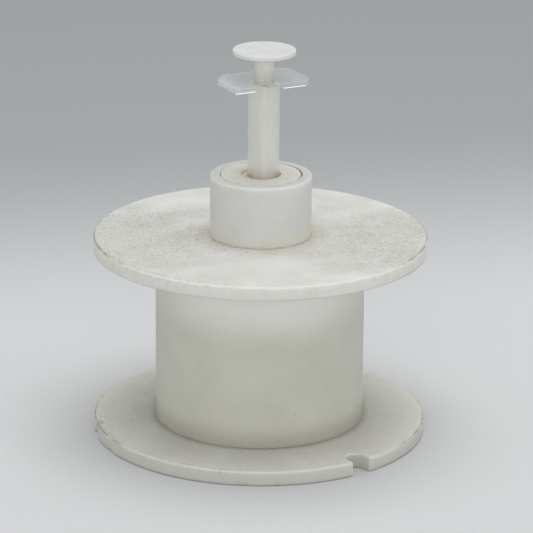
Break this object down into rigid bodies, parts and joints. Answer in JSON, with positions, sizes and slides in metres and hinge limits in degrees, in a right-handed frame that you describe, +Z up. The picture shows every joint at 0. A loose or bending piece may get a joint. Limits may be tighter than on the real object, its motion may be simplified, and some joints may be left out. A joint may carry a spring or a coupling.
{
  "type": "film developing reel",
  "caption": "White plastic film developing reel: flanged drum, lift-off upper flange with collar, turning stem with clear finger plate and sliding plunger.",
  "frame": {"origin": "centre of the bottom flange's underside, which stands on the table", "axes": "+Z up along the reel's axis; -Y is the side seen from the front; +X to the right"},
  "size_m": [0.068, 0.068, 0.0801],
  "materials": {
    "milky_plastic": "satin, slightly translucent, scuffed",
    "translucent_plastic": "smooth, milky translucent",
    "clear_plastic": "clear, polished faces",
    "white_plastic": "satin moulded",
    "dark_rubber": "matt",
    "stainless_steel": "plain turned"
  },
  "bodies": {
    "reel": {"bottom_flange": "milky_plastic", "drum": "milky_plastic", "core_tube": "milky_plastic", "core_bolt": "milky_plastic", "flange_screw_1": "stainless_steel", "flange_screw_2": "stainless_steel", "flange_screw_3": "stainless_steel", "locating_pin_1": "stainless_steel", "locating_pin_2": "stainless_steel", "friction_ring": "dark_rubber"},
    "upper_flange": {"top_flange": "milky_plastic", "collar": "milky_plastic"},
    "stem": {"stem_tube": "translucent_plastic", "stem_foot": "translucent_plastic", "finger_plate": "clear_plastic"},
    "plunger": {"thumb_knob": "white_plastic", "plunger_rod": "white_plastic", "piston_seal": "dark_rubber"}
  },
  "joints": [
    {"name": "flange_lift", "type": "slide", "parent": "reel", "child": "upper_flange", "axis": [0, 0, 1], "range_m": [0, 0.015]},
    {"name": "stem_turn", "type": "hinge", "parent": "reel", "child": "stem", "pos_m": [0.00045, 0, 0.073], "axis": [0, 0, 1], "continuous": true},
    {"name": "plunger_slide", "type": "slide", "parent": "stem", "child": "plunger", "axis": [0, 0, 1], "range_m": [-0.0045, 0.045]}
  ]
}
